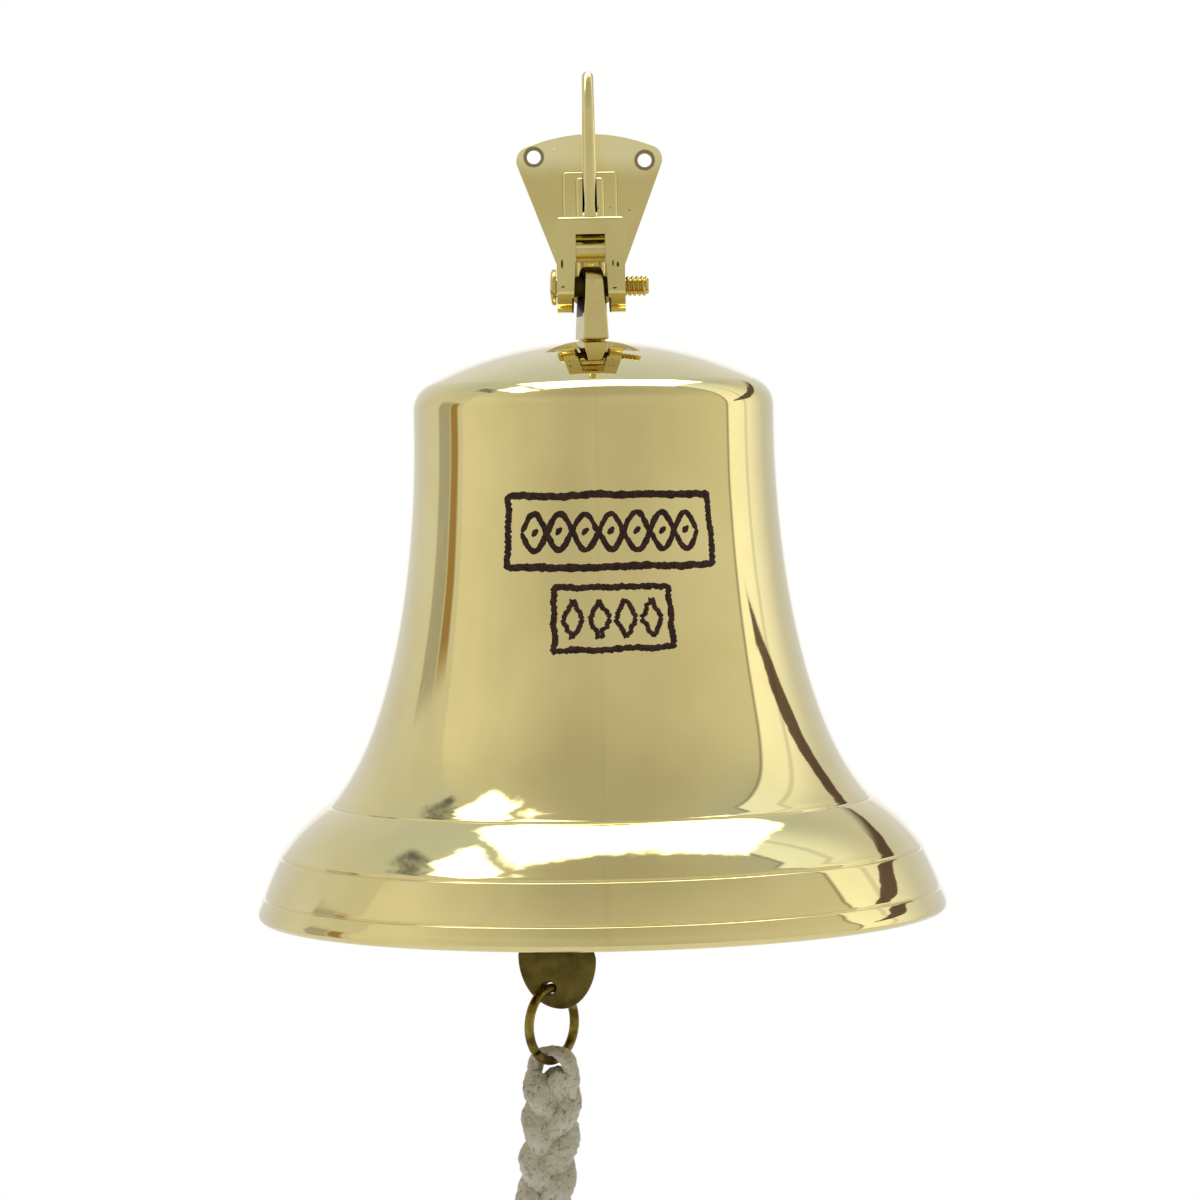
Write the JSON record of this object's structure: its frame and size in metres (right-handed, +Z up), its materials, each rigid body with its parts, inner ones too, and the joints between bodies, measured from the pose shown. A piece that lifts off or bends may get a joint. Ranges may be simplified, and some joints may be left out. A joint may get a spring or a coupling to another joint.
{
  "type": "ship bell",
  "caption": "Wall-mounted ship bell: flared brass shell on a forked scroll bracket, with a clapper rung by a plaited rope lanyard.",
  "frame": {"origin": "centre of the back plate's rear face, on the wall", "axes": "+Z up, +Y into the wall, so the bell stands out along -Y; +X to the right of someone facing the wall"},
  "size_m": [0.203, 0.2215, 0.4714],
  "materials": {
    "bell_brass": "mirror-polished and lacquered brass, turned grooves",
    "cast_brass": "polished cast brass with soft edges",
    "screw_brass": "machined yellow brass",
    "steel_hardware": "plain zinc-plated steel",
    "dull_bronze": "unpolished dark cast bronze, lightly scratched",
    "ring_brass": "aged brass wire",
    "cotton_rope": "off-white plaited cotton"
  },
  "bodies": {
    "bracket": {"back_plate": "cast_brass", "scroll_arm": "cast_brass", "arm_screw_upper": "steel_hardware", "arm_screw_lower": "steel_hardware", "bell_fork": "cast_brass", "pivot_bolt": "screw_brass"},
    "bell": {"bell_shell": "bell_brass", "hanger_stem": "cast_brass", "crown_washer": "steel_hardware", "crown_nut": "steel_hardware"},
    "swivel": {"clapper_swivel": "steel_hardware"},
    "clapper": {"clapper": "dull_bronze"},
    "ring": {"pull_ring": "ring_brass"},
    "lanyard": {"lanyard_eye": "cotton_rope", "lanyard_braid": "cotton_rope", "lanyard_knot": "cotton_rope", "lanyard_tassel": "cotton_rope"}
  },
  "joints": [
    {"name": "bell_swing", "type": "hinge", "parent": "bracket", "child": "bell", "pos_m": [0, -0.12, -0.0254], "axis": [1, 0, 0], "range_deg": [-90, 5.5]},
    {"name": "clapper_turn", "type": "hinge", "parent": "bell", "child": "swivel", "pos_m": [0, -0.12, -0.0603], "axis": [0, 0, 1], "continuous": true},
    {"name": "clapper_swing", "type": "hinge", "parent": "swivel", "child": "clapper", "pos_m": [0, -0.12, -0.0802], "axis": [0, 1, 0], "range_deg": [-33, 23]},
    {"name": "ring_swing", "type": "hinge", "parent": "clapper", "child": "ring", "pos_m": [-0.0156, -0.12, -0.23212], "axis": [0.6157, 0.788, 0], "range_deg": [-40, 24]},
    {"name": "lanyard_swing", "type": "hinge", "parent": "ring", "child": "lanyard", "pos_m": [-0.0156, -0.12, -0.25352], "axis": [0.6157, 0.788, 0], "range_deg": [-40, 40]}
  ]
}
